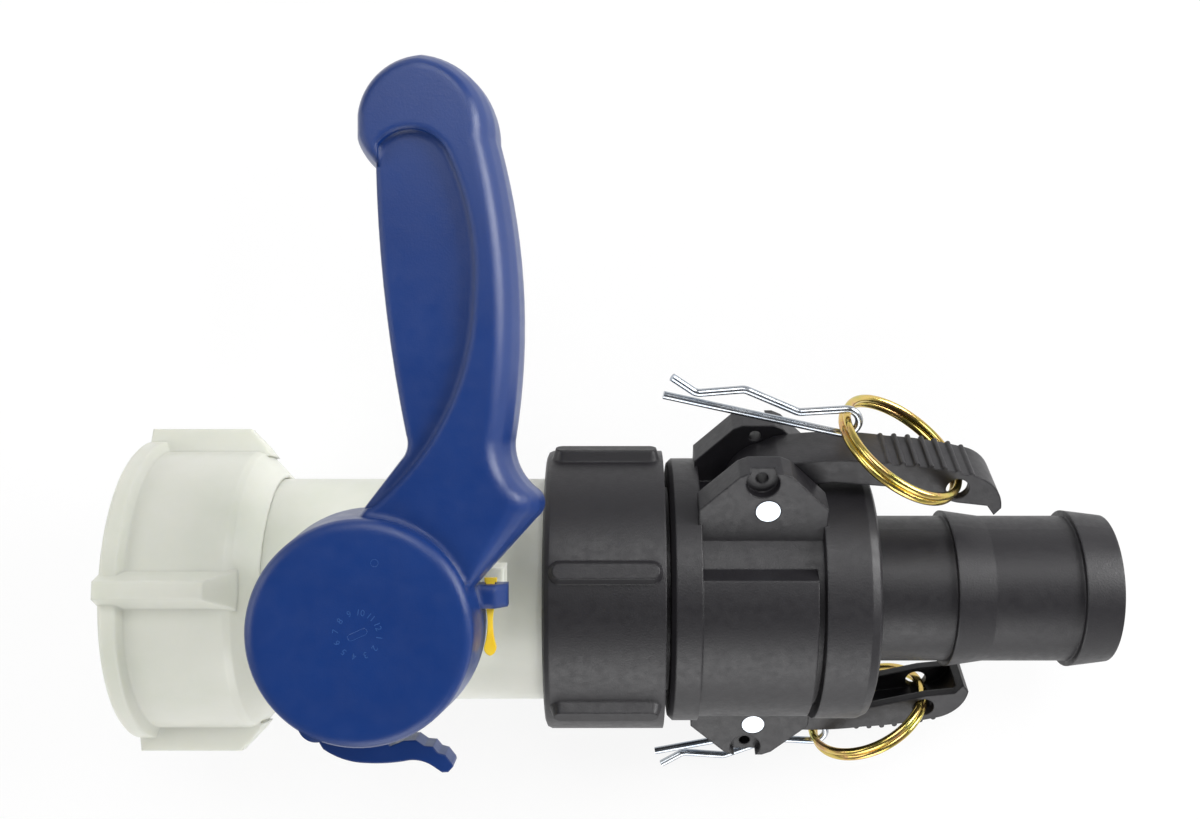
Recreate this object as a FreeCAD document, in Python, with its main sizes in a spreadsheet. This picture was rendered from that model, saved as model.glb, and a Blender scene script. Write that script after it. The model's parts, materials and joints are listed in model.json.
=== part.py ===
import FreeCAD, Part
import math
import os

import Sketcher

# Butterfly outlet valve of a bulk liquid tank, with its outlet thread adapter and hose coupler.
# Frame: X runs along the pipe towards the hose, Z runs up the valve stem, and Y is the side that
# the closed handle points to. The origin is the centre of the inlet nut's open end.
# The hose coupler is built with its two cam arms on +Y and -Y, then turned about X.

SIZES = [
    # alias, value (mm or degrees), what it is
    ("fit", 0.05, "radial gap of a shaft or pin in its bore"),
    ("gap", 0.3, "gap between a moving piece and what it passes or seats on"),
    # valve body
    ("pipe_r", 29.0, "outside radius of the pipe"),
    ("bore_r", 25.0, "radius of the flow bore"),
    ("stem_x", 69.3, "stem axis from the inlet nut's open end"),
    ("inlet_seat_x", 20.0, "face of the inlet collar"),
    ("collar_r", 31.5, "radius of the inlet collar"),
    ("collar_length", 6.5, "length of the inlet collar"),
    ("spigot_x", 107.5, "start of the threaded outlet spigot"),
    ("spigot_end_x", 128.0, "end of the threaded outlet spigot"),
    ("spigot_r", 29.6, "radius over the outlet thread"),
    ("tower_r", 16.0, "radius of the stem tower"),
    ("tower_top_z", 56.0, "top of the stem tower"),
    ("keeper_r", 26.5, "radius over the lock teeth"),
    ("keeper_z", 41.5, "underside of the lock teeth"),
    ("keeper_thickness", 6.0, "height of the lock teeth and their plate"),
    ("plate_r", 21.0, "radius of the plate under the handle"),
    ("boss_r", 11.0, "radius of the blind boss under the pipe"),
    ("boss_z", 35.0, "depth of the blind boss below the pipe axis"),
    ("body_lug_length", 8.0, "how far the body's seal lug stands out of the plate"),
    # inlet nut
    ("nut_bore_r", 32.0, "radius inside the inlet nut's thread"),
    ("nut_r", 36.3, "radius of the inlet nut's body"),
    ("nut_bead_r", 38.9, "radius of the bead at the inlet nut's open end"),
    ("nut_bead_width", 4.3, "width of that bead"),
    ("nut_length", 36.5, "length of the inlet nut"),
    ("thread_length", 16.7, "length of the inlet nut's thread"),
    ("thread_relief", 0.5, "relief behind that thread"),
    ("nut_cone_x", 31.6, "start of the inlet nut's conical shoulder"),
    ("nut_lug_r", 42.3, "radius over the inlet nut's lugs"),
    ("nut_lug_base", 10.0, "width of a lug at its root"),
    ("nut_lug_top", 4.2, "width of a lug's flat top"),
    ("nut_lug_turn", 6.4, "turn of the lugs about the pipe, degrees"),
    ("gasket_thickness", 3.0, "thickness of the flat gaskets"),
    # stem, bush and disc
    ("stem_r", 7.0, "radius of the stem"),
    ("stem_top_z", 71.5, "top of the stem"),
    ("stem_flat", 10.0, "across flats of the stem's square head"),
    ("trunnion_r", 5.0, "radius of the stem's lower journal"),
    ("trunnion_z", 31.0, "depth of the stem's lower end below the pipe axis"),
    ("ring_wire_r", 1.1, "radius of the stem's O-ring section"),
    ("bush_r", 11.5, "outside radius of the stem bush"),
    ("bush_length", 10.0, "length of the stem bush in the tower"),
    ("bush_flange_r", 14.0, "radius of the stem bush's flange"),
    ("bush_flange", 1.5, "thickness of that flange"),
    ("disc_r", 24.3, "radius of the valve disc"),
    ("disc_rim", 4.4, "thickness of the disc at its rim"),
    ("disc_hub_r", 10.5, "radius of the disc's hub round the stem"),
    ("disc_hub_z", 19.5, "half height of that hub"),
    ("seal_wire_r", 1.2, "radius of the disc seal's section"),
    ("seal_inset", 0.6, "middle of the seal's section inside the disc's edge"),
    # handle
    ("handle_z", 58.0, "underside of the handle"),
    ("hub_top_z", 77.0, "top face of the handle's hub"),
    ("hub_base_r", 25.6, "radius of the hub's wall at its foot"),
    ("hub_face_r", 24.2, "radius of the hub's wall at its top"),
    ("hub_edge", 1.6, "rounding of the hub's top edge"),
    ("hub_wall", 2.6, "wall of the hub and of the handle's shell"),
    ("plateau_z", 72.8, "flat top of the handle's spine"),
    ("grip_z", 70.4, "top of the lower grip field"),
    ("back_bevel", 5.8, "how far the handle's back rounds in"),
    ("front_bevel", 2.4, "how far the handle's front and end round in"),
    ("skirt", 3.2, "upright foot of the handle's sides"),
    ("reach", 125.6, "handle end from the stem axis"),
    ("rib_wall", 2.2, "thickness of the ribs under the handle"),
    ("rib_count", 5, "ribs across the underside of the handle"),
    ("lug_out", 30.6, "outer end of the handle's seal lug from the stem axis"),
    ("lug_width", 5.1, "width of the handle's seal lug"),
    ("lug_height", 7.0, "height of the handle's seal lug"),
    ("lug_y", 6.3, "middle of the seal lug beside the stem axis"),
    ("tag_x", 26.7, "seal strap from the stem axis"),
    ("tag_z", 60.4, "underside of the seal strap"),
    ("tag_thickness", 1.5, "thickness of the seal strap"),
    ("tag_width", 1.9, "width of the seal strap"),
    ("tag_tail", 10.9, "how far the strap hangs out of the lug"),
    # lock lever
    ("lock_pin_x", -8.9, "lock lever's pin from the stem axis, along X"),
    ("lock_pin_y", -19.0, "lock lever's pin from the stem axis, along Y"),
    ("lock_pin_r", 1.5, "radius of the lock lever's pin"),
    ("lock_eye_r", 4.0, "radius of the lever's eye"),
    ("lock_in_r", 29.6, "inner radius of the lever's bow"),
    ("lock_out_r", 33.3, "outer radius of the lever's bow"),
    ("lock_tab_r", 38.9, "radius over the lever's thumb tab"),
    ("lock_z", 45.0, "underside of the lever"),
    ("lock_height", 8.0, "height of the lever"),
    ("lock_eye_height", 3.5, "height of the lever's eye, above the teeth"),
    ("spring_wire_r", 0.5, "radius of the lock spring's wire"),
    ("spring_turns", 3, "turns of the lock spring"),
    # outlet adapter
    ("adapter_x", 106.1, "open end of the adapter's nut"),
    ("adapter_end_x", 136.3, "closed end of the adapter's nut"),
    ("adapter_r", 36.5, "radius of the adapter's nut"),
    ("adapter_edge", 1.6, "rounding of the nut's open end"),
    ("adapter_rib_r", 39.2, "radius over the nut's ribs"),
    ("adapter_rib_width", 6.4, "width of a rib"),
    ("adapter_rib_turn", 13.0, "turn of the ribs about the pipe, degrees"),
    ("adapter_web", 3.8, "wall behind the outlet gasket"),
    ("male_r", 26.7, "radius of the male coupling end"),
    ("male_bore_r", 19.5, "bore of the male coupling end"),
    ("male_end_x", 174.5, "tip of the male coupling end"),
    # hose coupler
    ("coupler_turn", 31.0, "turn of the coupler about the pipe, degrees"),
    ("coupler_x", 137.6, "front face of the coupler"),
    ("front_r", 34.5, "radius of the coupler's front flange"),
    ("front_width", 7.6, "width of that flange"),
    ("barrel_r", 30.2, "radius of the barrel between flange and collar"),
    ("collar_x", 175.4, "front of the rear collar"),
    ("rear_r", 34.0, "radius of the rear collar"),
    ("rear_end_x", 189.4, "rear face of the rear collar"),
    ("rear_edge", 3.0, "rounding of the rear collar"),
    ("pad_r", 33.6, "radius of the raised panels"),
    ("pad_half_angle", 41.0, "half the angle that a panel spans, degrees"),
    ("pad_groove", 1.9, "groove between a panel and the rear collar"),
    ("socket_r", 27.0, "radius of the socket"),
    ("tail_r", 19.15, "radius of the hose tail"),
    ("barb_r", 20.6, "radius over the hose barbs"),
    ("tail_bore_r", 16.5, "bore of the hose tail"),
    ("barb_x", 210.7, "first barb's step"),
    ("barb_pitch", 32.3, "from the first barb's step to the second"),
    ("barb_length", 10.0, "taper behind a barb's step"),
    ("tail_end_x", 253.0, "end of the hose tail"),
    # ears, pins and cam arms
    ("pin_x", 161.3, "cam arm pivot along the pipe"),
    ("pin_y", 35.2, "cam arm pivot from the pipe axis"),
    ("pin_r", 3.0, "radius of a pivot pin"),
    ("ear_out_z", 14.8, "outer face of the ears"),
    ("ear_top", 46.3, "top of the ears from the pipe axis"),
    ("ear_flat", 8.0, "flat top of an ear"),
    ("ear_foot_x", 31.8, "length of an ear at its foot"),
    ("ear_shoulder", 35.6, "where an ear's slopes end"),
    ("arm_width", 13.6, "width of a cam arm"),
    ("arm_side_gap", 0.3, "gap between a cam arm and the ears"),
    ("clip_hole_r", 1.5, "radius of the safety clip hole in the ears"),
    ("clip_hole_y", 43.3, "safety clip hole from the pipe axis"),
    ("clip_recess_r", 4.1, "radius of the recess round that hole"),
    ("clip_recess_depth", 2.6, "depth of that recess"),
    ("cam_r", 8.0, "radius of the cam lobe"),
    ("cam_back", 1.0, "cam lobe's centre ahead of the pin"),
    ("cam_drop", 3.7, "cam lobe's centre below the pin"),
    ("arm_hub_r", 6.4, "radius of the arm round its pin"),
    ("arm_length", 59.5, "cam arm from its pin to its tip"),
    ("arm_plate", 2.6, "thickness of the arm's plate"),
    ("arm_web", 2.3, "thickness of the arm's side webs"),
    ("ridge_count", 7, "grip ridges across an arm"),
    ("ridge_pitch", 3.5, "spacing of the grip ridges"),
    ("ridge_r", 0.7, "radius of a grip ridge"),
    ("ring_hole_x", 47.8, "pull ring's hole from the arm's pin, along the pipe"),
    ("ring_hole_y", 1.2, "pull ring's hole from the arm's pin, away from the pipe"),
    ("ring_hole_r", 2.9, "radius of the pull ring's hole"),
    # rings and clips
    ("pull_ring_r", 16.7, "middle radius of a pull ring"),
    ("pull_wire_r", 1.0, "wire radius of a pull ring"),
    ("pull_ring_slope", -28.7, "slope of a pull ring from its free end to the arm, degrees"),
    ("pull_ring_tilt", 6.0, "tilt of a pull ring about that slope, degrees"),
    ("clip_wire_r", 1.0, "wire radius of a safety clip"),
    ("clip_loop_r", 3.5, "middle radius of a safety clip's eye"),
    ("clip_slope", 166.0, "direction of a clip's straight leg from its eye, degrees"),
    ("clip_leg", 45.5, "length of a clip's straight leg"),
]

doc = FreeCAD.newDocument("ibc_tank_valve")
sheet = doc.addObject("Spreadsheet::Sheet", "sizes")
for row, (alias, value, note) in enumerate(SIZES, start=1):
    sheet.set(f"A{row}", note)
    sheet.set(f"B{row}", str(value))
    sheet.setAlias(f"B{row}", alias)
doc.recompute()


class Size:
    """A value together with the rule that works it out from the sheet."""

    def __init__(self, value, rule):
        self.value = float(value)
        self.rule = rule

    def __add__(self, other):
        other = sized(other)
        return Size(self.value + other.value, f"({self.rule} + {other.rule})")

    def __sub__(self, other):
        other = sized(other)
        return Size(self.value - other.value, f"({self.rule} - {other.rule})")

    def __mul__(self, other):
        other = sized(other)
        return Size(self.value * other.value, f"({self.rule} * {other.rule})")

    def __truediv__(self, other):
        other = sized(other)
        return Size(self.value / other.value, f"({self.rule} / {other.rule})")

    def __radd__(self, other):
        return sized(other) + self

    def __rsub__(self, other):
        return sized(other) - self

    def __rmul__(self, other):
        return sized(other) * self

    def __neg__(self):
        return Size(-self.value, f"(0 - {self.rule})")

    def __float__(self):
        return self.value


def sized(value):
    """A plain number as a Size."""
    return value if isinstance(value, Size) else Size(value, repr(float(value)))


class Sheet:
    """Every size of the sheet as an attribute."""

    def __getattr__(self, alias):
        return Size(sheet.get(alias), f"sizes.{alias}")


S = Sheet()
pieces = []


def bind(thing, **rules):
    """Bind properties of an object to the sheet."""
    for name, rule in rules.items():
        thing.setExpression(name.replace("__", "."), sized(rule).rule)
    return thing


def keep(thing, label):
    """Name a finished sub-part and list it for export."""
    thing.Label = label
    pieces.append(thing)
    return thing


def at(thing, x=0.0, y=0.0, z=0.0):
    """Place an object by sizes of the sheet."""
    return bind(thing, Placement__Base__x=x, Placement__Base__y=y, Placement__Base__z=z)


def turn(thing, axis, degrees):
    """Turn an object in place about one of its own axes."""
    base = thing.Placement.Base
    thing.Placement = FreeCAD.Placement(base, FreeCAD.Rotation(FreeCAD.Vector(*axis), float(degrees)))
    return thing


def cylinder(name, radius, height):
    return bind(doc.addObject("Part::Cylinder", name), Radius=radius, Height=height)


def box(name, length, width, height):
    return bind(doc.addObject("Part::Box", name), Length=length, Width=width, Height=height)


def torus(name, ring, wire):
    return bind(doc.addObject("Part::Torus", name), Radius1=ring, Radius2=wire)


def fuse(name, *things):
    joined = doc.addObject("Part::MultiFuse", name)
    joined.Shapes = list(things)
    joined.Refine = True
    return joined


def cut(name, base, *tools):
    """Base less the tools."""
    tool = tools[0] if len(tools) == 1 else fuse(name + "_tools", *tools)
    less = doc.addObject("Part::Cut", name)
    less.Base = base
    less.Tool = tool
    less.Refine = True
    return less


def new_body(name):
    return doc.addObject("PartDesign::Body", name)


def origin_part(body, role):
    """One of a body's own origin planes or axes."""
    return next(f for f in body.Origin.OriginFeatures if f.Role == role)


def sketch_on(body, name, plane, lift=0.0):
    """An empty sketch on a body's own plane, lifted off it by a size."""
    sketch = body.newObject("Sketcher::SketchObject", name)
    sketch.AttachmentSupport = [(origin_part(body, plane), "")]
    sketch.MapMode = "FlatFace"
    sketch.setExpression("AttachmentOffset.Base.z", sized(lift).rule)
    return sketch


def polygon(sketch, points):
    """A closed outline whose corners are held by sizes of the sheet."""
    count = len(points)
    spots = [FreeCAD.Vector(float(u), float(v), 0) for u, v in points]
    first = len(sketch.Geometry)
    for n in range(count):
        sketch.addGeometry(Part.LineSegment(spots[n], spots[(n + 1) % count]), False)
    for n in range(count):
        here, onward = first + n, first + (n + 1) % count
        sketch.addConstraint(Sketcher.Constraint("Coincident", here, 2, onward, 1))
    for n, (u, v) in enumerate(points):
        for kind, along in (("DistanceX", u), ("DistanceY", v)):
            rule = Sketcher.Constraint(kind, -1, 1, first + n, 1, float(along))
            number = sketch.addConstraint(rule)
            sketch.setExpression(f"Constraints[{number}]", sized(along).rule)
    return sketch


def ring_outline(sketch, radius, u=0.0, v=0.0):
    """A circle held by sizes of the sheet."""
    spot = FreeCAD.Vector(float(u), float(v), 0)
    circle = sketch.addGeometry(Part.Circle(spot, FreeCAD.Vector(0, 0, 1), float(radius)), False)
    held = (
        Sketcher.Constraint("Radius", circle, float(radius)),
        Sketcher.Constraint("DistanceX", -1, 1, circle, 3, float(u)),
        Sketcher.Constraint("DistanceY", -1, 1, circle, 3, float(v)),
    )
    for rule, along in zip(held, (radius, u, v)):
        number = sketch.addConstraint(rule)
        sketch.setExpression(f"Constraints[{number}]", sized(along).rule)
    return sketch


def path_outline(sketch, steps):
    """A closed outline of lines and three-point arcs: each step is (end,) or (middle, end)."""
    start = FreeCAD.Vector(*steps[-1][-1], 0)
    first = len(sketch.Geometry)
    for step in steps:
        spots = [FreeCAD.Vector(*spot, 0) for spot in step]
        edge = Part.LineSegment(start, spots[-1])
        if len(spots) == 2:
            edge = Part.Arc(start, spots[0], spots[1])
        sketch.addGeometry(edge, False)
        start = spots[-1]
    for n in range(len(steps)):
        sketch.addConstraint(Sketcher.Constraint("Block", first + n))
    return sketch


def turned(body, name, points, axis="X_Axis", plane="XY_Plane", kind="Revolution"):
    """A profile of (along the axis, radius) corners turned all the way round."""
    rows = points if axis == "X_Axis" else [(radius, along) for along, radius in points]
    sketch = polygon(sketch_on(body, name + "_profile", plane), rows)
    feature = body.newObject("PartDesign::" + kind, name)
    feature.Profile = sketch
    feature.ReferenceAxis = (origin_part(body, axis), [""])
    feature.Angle = 360.0
    body.Tip = feature
    return feature


def padded(body, name, sketch, length, reverse=False, kind="Pad"):
    """A sketch raised by a length, or sunk by it as a pocket."""
    feature = body.newObject("PartDesign::" + kind, name)
    feature.Profile = sketch
    feature.setExpression("Length", sized(length).rule)
    feature.Reversed = reverse
    body.Tip = feature
    return feature


def polar(body, name, feature, count, axis="X_Axis"):
    """Copies of a feature round one of the body's axes."""
    pattern = body.newObject("PartDesign::PolarPattern", name)
    pattern.Originals = [feature]
    pattern.Axis = (origin_part(body, axis), [""])
    pattern.Angle = 360.0
    pattern.Occurrences = count
    body.Tip = pattern
    return pattern


def solid_feature(name, shape):
    """A shape made with Part's own functions, as an object of the document."""
    feature = doc.addObject("Part::Feature", name)
    feature.Shape = shape
    return feature


def point(angle, radius, x=0.0, y=0.0):
    """A point on a circle about (x, y), by its angle in degrees."""
    bend = math.radians(angle)
    return (x + radius * math.cos(bend), y + radius * math.sin(bend))


def on_coupler(thing):
    """Turn a piece of the coupler about the pipe with the rest of it."""
    whole = FreeCAD.Rotation(FreeCAD.Vector(1, 0, 0), float(S.coupler_turn))
    thing.Placement = FreeCAD.Placement(FreeCAD.Vector(0, 0, 0), whole).multiply(thing.Placement)
    return thing


# ---------------------------------------------------------------- inlet nut and gaskets


def inlet_nut():
    """Union nut that pulls the valve's collar against the tank's outlet."""
    body = new_body("inlet_nut")
    shoulder_r = S.pipe_r + S.gap
    shoulder_x = S.inlet_seat_x + S.collar_length + S.gap
    relief_r = S.nut_bore_r + S.thread_relief
    outline = [
        (0.0, S.nut_bore_r),
        (0.0, S.nut_bead_r - 0.8),
        (0.8, S.nut_bead_r),
        (S.nut_bead_width, S.nut_bead_r),
        (S.nut_bead_width + 1.2, S.nut_r),
        (S.nut_cone_x - 2.4, S.nut_r),
        (S.nut_cone_x - 0.6, S.nut_r - 0.6),
        (S.nut_cone_x + 0.8, S.nut_r - 2.0),
        (S.nut_length, shoulder_r + 0.8),
        (S.nut_length, shoulder_r),
        (shoulder_x, shoulder_r),
        (shoulder_x, relief_r),
        (S.thread_length, relief_r),
        (S.thread_length, S.nut_bore_r),
    ]
    turned(body, "shell", outline)
    half_base, half_top = S.nut_lug_base / 2, S.nut_lug_top / 2
    section = polygon(
        sketch_on(body, "lug_section", "YZ_Plane"),
        [
            (-half_base, S.nut_r - 1.5),
            (half_base, S.nut_r - 1.5),
            (half_top, S.nut_lug_r),
            (-half_top, S.nut_lug_r),
        ],
    )
    lug = padded(body, "lug", section, S.nut_length)
    polar(body, "lugs", lug, 4)
    slope = [
        (S.nut_cone_x - 6.0, S.nut_lug_r + 1.0),
        (S.nut_cone_x - 4.8, S.nut_lug_r - 0.6),
        (S.nut_cone_x - 0.8, S.nut_r + 1.2),
        (S.nut_length, shoulder_r + 0.8),
        (S.nut_length + 2.0, shoulder_r + 0.8),
        (S.nut_length + 2.0, S.nut_lug_r + 1.0),
    ]
    turned(body, "shoulder_cut", slope, kind="Groove")
    return keep(turn(body, (1, 0, 0), -S.nut_lug_turn), "inlet_nut")


def flat_gasket(label, start, inner, outer):
    """A flat ring gasket across the pipe."""
    body = new_body(label)
    end = start + S.gasket_thickness
    turned(body, "ring", [(start, inner), (start, outer), (end, outer), (end, inner)])
    return keep(body, label)


# ---------------------------------------------------------------- valve body


def valve_body():
    """Pipe, inlet collar, outlet spigot, stem tower, lock teeth and seal lug in one moulding."""
    body = new_body("valve_body")
    collar_end = S.inlet_seat_x + S.collar_length
    outline = [
        (S.inlet_seat_x, 0.0),
        (S.inlet_seat_x, S.collar_r),
        (collar_end, S.collar_r),
        (collar_end, S.pipe_r),
        (S.spigot_x, S.pipe_r),
        (S.spigot_x, S.spigot_r),
        (S.spigot_end_x - 1.5, S.spigot_r),
        (S.spigot_end_x, S.spigot_r - 1.5),
        (S.spigot_end_x, 0.0),
    ]
    turned(body, "pipe", outline)
    tower = ring_outline(sketch_on(body, "tower_ring", "XY_Plane"), S.tower_r, S.stem_x)
    padded(body, "tower", tower, S.tower_top_z)
    boss = ring_outline(sketch_on(body, "boss_ring", "XY_Plane"), S.boss_r, S.stem_x)
    padded(body, "boss", boss, S.boss_z, reverse=True)
    plate = ring_outline(sketch_on(body, "plate_ring", "XY_Plane", S.keeper_z), S.plate_r, S.stem_x)
    padded(body, "plate", plate, S.keeper_thickness)
    stem_x, keeper_r, plate_r = float(S.stem_x), float(S.keeper_r), float(S.plate_r)
    for number, middle in enumerate((-64, -114, -154, -204)):
        low, high = middle - 8, middle + 8
        tooth = path_outline(
            sketch_on(body, f"tooth_outline_{number}", "XY_Plane", S.keeper_z),
            [
                (point(low, keeper_r, stem_x),),
                (point(middle, keeper_r, stem_x), point(high, keeper_r, stem_x)),
                (point(high + 6, plate_r - 2, stem_x),),
                (point(low - 6, plate_r - 2, stem_x),),
            ],
        )
        padded(body, f"tooth_{number}", tooth, S.keeper_thickness)
    lug_end = S.stem_x + S.plate_r + S.body_lug_length
    lug = polygon(
        sketch_on(body, "lug_outline", "XY_Plane", S.keeper_z),
        [
            (S.stem_x, S.lug_y + 1.4),
            (S.stem_x, S.lug_y + 5.0),
            (lug_end, S.lug_y + 5.0),
            (lug_end, S.lug_y - 1.0),
            (lug_end - 2.0, S.lug_y - 1.0),
        ],
    )
    padded(body, "lug", lug, S.tower_top_z - S.keeper_z - 2.5)
    bore_end = S.spigot_end_x + 1.0
    bore = [(S.inlet_seat_x - 1.0, 0.0), (S.inlet_seat_x - 1.0, S.bore_r), (bore_end, S.bore_r), (bore_end, 0.0)]
    turned(body, "flow_bore", bore, kind="Groove")
    stem_bore = ring_outline(sketch_on(body, "stem_bore_ring", "XY_Plane"), S.stem_r + S.fit, S.stem_x)
    padded(body, "stem_bore", stem_bore, S.tower_top_z + 1.0, reverse=True, kind="Pocket")
    seat = ring_outline(
        sketch_on(body, "bush_seat_ring", "XY_Plane", S.tower_top_z - S.bush_length),
        S.bush_r + S.fit,
        S.stem_x,
    )
    padded(body, "bush_seat", seat, S.bush_length + 1.0, reverse=True, kind="Pocket")
    journal = ring_outline(sketch_on(body, "journal_ring", "XY_Plane"), S.trunnion_r + S.fit, S.stem_x)
    padded(body, "journal_bore", journal, S.trunnion_z + S.gap, kind="Pocket")
    return keep(body, "valve_body")


# ---------------------------------------------------------------- stem, bush and disc


def stem():
    """Stem with two O-ring grooves, a square head and a lower journal."""
    body = new_body("stem")
    groove_low = S.pipe_r + 3.0
    groove_high = groove_low + 5.0
    floor = S.stem_r - S.ring_wire_r * 2 - S.fit
    width = S.ring_wire_r * 2.4
    outline = [
        (-S.trunnion_z, 0.0),
        (-S.trunnion_z, S.trunnion_r),
        (-S.disc_hub_z, S.trunnion_r),
        (-S.disc_hub_z, S.stem_r),
        (groove_low, S.stem_r),
        (groove_low, floor),
        (groove_low + width, floor),
        (groove_low + width, S.stem_r),
        (groove_high, S.stem_r),
        (groove_high, floor),
        (groove_high + width, floor),
        (groove_high + width, S.stem_r),
        (S.stem_top_z, S.stem_r),
        (S.stem_top_z, 0.0),
    ]
    turned(body, "shaft", outline, axis="Z_Axis", plane="XZ_Plane")
    half, far = S.stem_flat / 2, S.stem_r + 1.0
    sides = [
        ((half, -far), (far, -far), (far, far), (half, far)),
        ((-far, -far), (-half, -far), (-half, far), (-far, far)),
        ((-half, half), (half, half), (half, far), (-half, far)),
        ((-half, -far), (half, -far), (half, -half), (-half, -half)),
    ]
    for number, side in enumerate(sides):
        flat = polygon(sketch_on(body, f"flat_outline_{number}", "XY_Plane", S.stem_top_z), side)
        padded(body, f"flat_{number}", flat, S.stem_top_z - S.handle_z - 2.0, kind="Pocket")
    return keep(at(body, S.stem_x), "stem")


def stem_o_rings():
    """Two O-rings in the stem's grooves."""
    rings = []
    for number in range(2):
        ring = torus(f"o_ring_{number}", S.stem_r - S.ring_wire_r, S.ring_wire_r)
        rings.append(at(ring, S.stem_x, 0, S.pipe_r + 3.0 + 5.0 * number + S.ring_wire_r * 1.2))
    pair = doc.addObject("Part::Compound", "stem_o_rings")
    pair.Links = rings
    return keep(pair, "stem_o_rings")


def stem_bush():
    """Flanged bush that guides the stem at the top of the tower."""
    body = new_body("stem_bush")
    foot = S.tower_top_z - S.bush_length
    head = S.tower_top_z + S.bush_flange
    inner = S.stem_r + S.fit
    outline = [
        (foot, inner),
        (foot, S.bush_r),
        (S.tower_top_z, S.bush_r),
        (S.tower_top_z, S.bush_flange_r),
        (head, S.bush_flange_r),
        (head, inner),
    ]
    turned(body, "sleeve", outline, axis="Z_Axis", plane="XZ_Plane")
    return keep(at(body, S.stem_x), "stem_bush")


def valve_disc():
    """Lens-shaped disc with a hub along the stem and a groove for its seal."""
    body = new_body("valve_disc")
    half_rim = S.disc_rim / 2
    groove_half = S.seal_wire_r + S.fit
    floor = S.disc_r - S.seal_inset - S.seal_wire_r - S.fit
    outline = [
        (-S.disc_hub_r * 0.55, 0.0),
        (-S.disc_hub_r * 0.55, 7.0),
        (-half_rim, S.disc_r - 3.0),
        (-half_rim, S.disc_r),
        (-groove_half, S.disc_r),
        (-groove_half, floor),
        (groove_half, floor),
        (groove_half, S.disc_r),
        (half_rim, S.disc_r),
        (half_rim, S.disc_r - 3.0),
        (S.disc_hub_r * 0.55, 7.0),
        (S.disc_hub_r * 0.55, 0.0),
    ]
    turned(body, "lens", outline)
    hub = ring_outline(sketch_on(body, "hub_ring", "XY_Plane", -S.disc_hub_z), S.disc_hub_r)
    padded(body, "hub", hub, S.disc_hub_z * 2)
    bore = ring_outline(sketch_on(body, "stem_hole_ring", "XY_Plane", S.disc_r + 1.0), S.stem_r + S.fit)
    padded(body, "stem_hole", bore, S.disc_r + S.disc_r + 2.0, kind="Pocket")
    return keep(at(body, S.stem_x), "valve_disc")


def disc_seal():
    """Seal round the disc's rim, open where the stem passes."""
    ring = torus("seal_ring", S.disc_r - S.seal_inset, S.seal_wire_r)
    turn(ring, (0, 1, 0), 90)
    stem_gap = at(cylinder("seal_gap", S.stem_r + 0.6, S.pipe_r * 2), 0, 0, -S.pipe_r)
    seal = cut("disc_seal", ring, stem_gap)
    return keep(at(seal, S.stem_x), "disc_seal")


# ---------------------------------------------------------------- handle


def handle_outline(sketch, back=0.0, front=0.0):
    """The handle seen from above, drawn in from its back and its front by two insets.

    It runs from the hub's tangent over the shoulder, up the long back, round the end and down
    the hooked front to the hub again.
    """
    reach, base = float(S.reach), float(S.hub_base_r)
    steps = [
        ((37.2 - back * 1.2, 23.6 + back * 0.3),),
        ((38.8 - back * 1.3, 26.8 + back * 0.2), (36.9 - back * 1.1, 30.0)),
        ((33.4 - back, 34.4), (32.2 - back, 40.5)),
        ((34.2 - back, 70.0), (28.9 - back * 0.95, reach - 19.0)),
        ((23.6 - back * 0.65, reach - 5.6 - back * 0.35), (12.0, reach - front * 1.6)),
        ((2.4 + front * 0.7, reach - 4.6 - front), (-2.2 + front, reach - 14.4)),
        ((-2.2 + front, reach - 18.9),),
        ((-0.6 + front * 0.8, reach - 22.4 + front * 0.3), (1.8 + front, reach - 24.8)),
        ((3.7 + front, 72.0), (8.4 + front, 42.0)),
        ((8.6 + front, 39.0), (7.2 + front, 36.4)),
        (point(93, base - 0.4 - front),),
        (point(57, base - 3.0 - front), point(20, base - 0.4 - front)),
    ]
    return path_outline(sketch, steps)


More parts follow.
